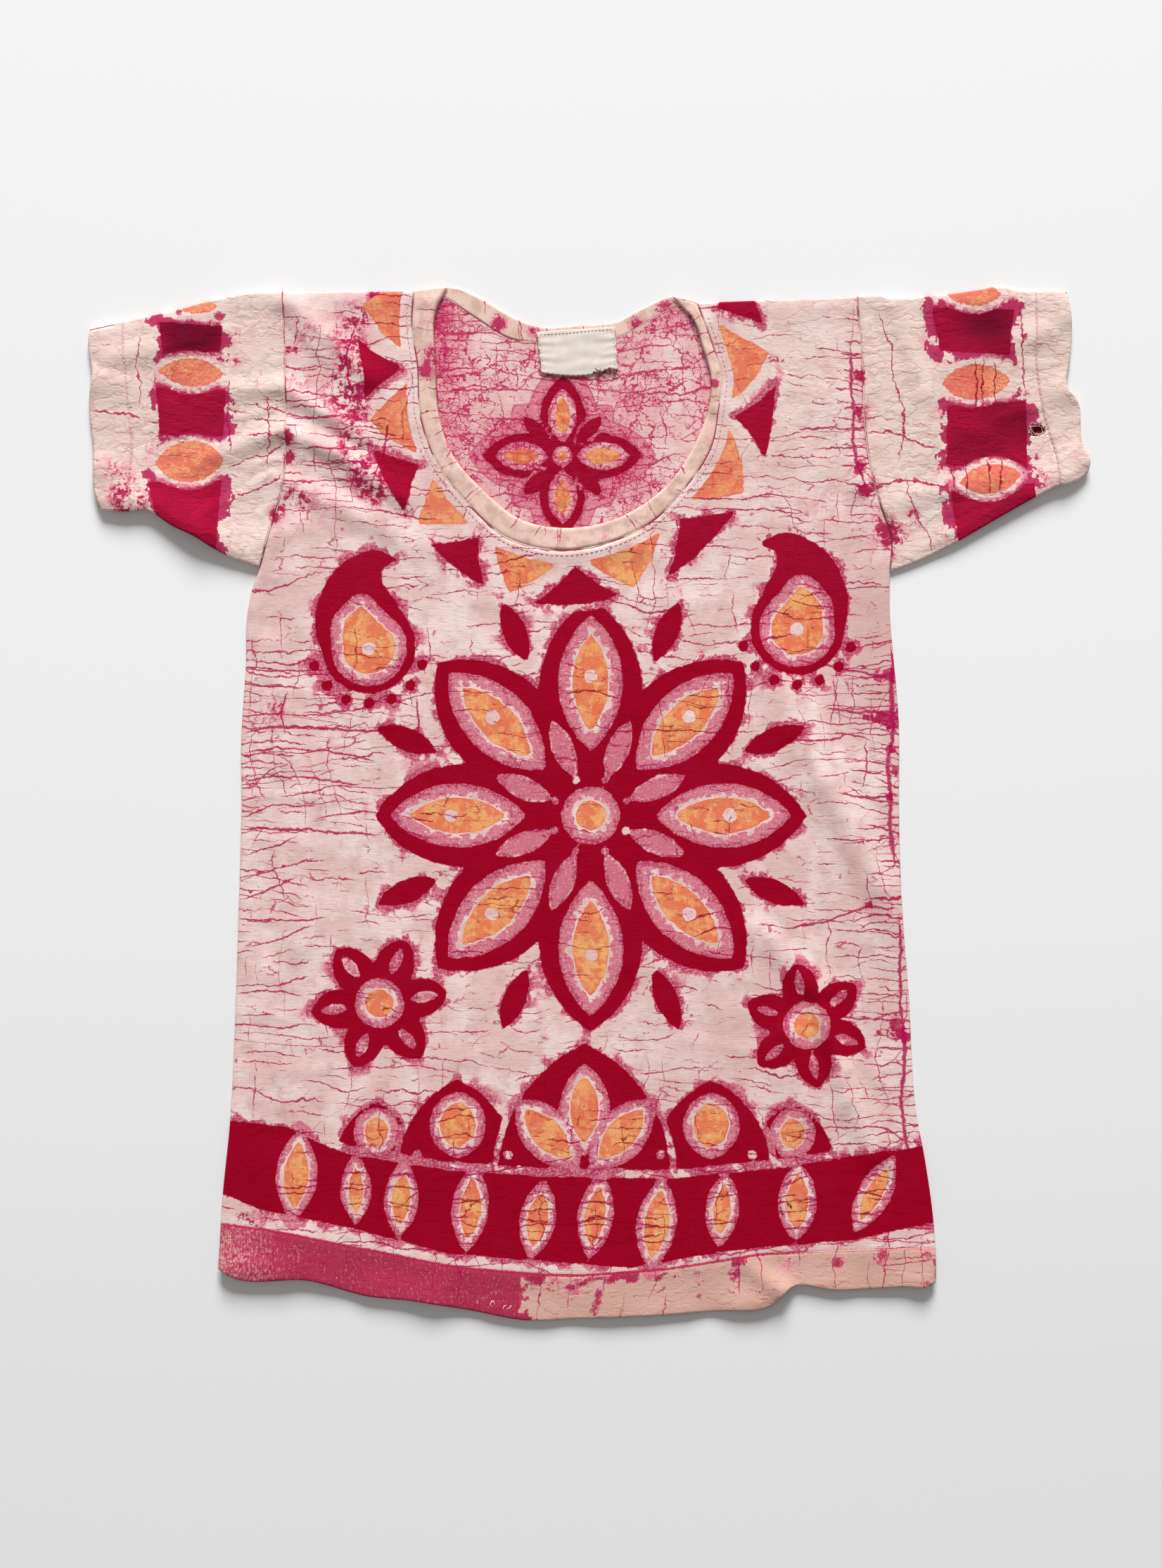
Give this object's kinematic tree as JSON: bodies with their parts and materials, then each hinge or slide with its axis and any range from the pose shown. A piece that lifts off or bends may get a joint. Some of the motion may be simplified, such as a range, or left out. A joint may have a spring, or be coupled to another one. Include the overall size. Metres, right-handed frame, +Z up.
{
  "type": "batik t-shirt laid flat",
  "caption": "Short-sleeved cotton batik shirt with a bound scoop neck, laid flat on a table, its panels lying on each other.",
  "frame": {"origin": "on the table under the centre of the shirt's outline: centre of the bounding box in X and Y, its lowest point in Z", "axes": "+Z up from the table, out of the front of the shirt; +Y from the hem to the neck; +X to the viewer's right, towards the wearer's left sleeve"},
  "size_m": [0.6391, 0.6604, 0.0067],
  "materials": {
    "batik_cotton": "thin slubby cotton jersey, cream to pale pink, wax-resist dyed in crimson and orange with fine crimson crackle, matt",
    "batik_cotton_inside": "inside of the same jersey, pinker, with a dense crackle of crimson lines, matt",
    "neck_binding": "folded cotton jersey binding, cream with pale pink and a few crimson cracks, matt",
    "plain_label": "blank off-white woven tape, puckered at its stitches, slight sheen"
  },
  "bodies": {
    "root": {"front": "batik_cotton", "back": "batik_cotton_inside", "sleeve_left": "batik_cotton", "sleeve_right_front": "batik_cotton", "sleeve_right_back": "batik_cotton", "neck_binding_front": "neck_binding", "neck_binding_back": "neck_binding", "label": "plain_label"}
  },
  "joints": []
}
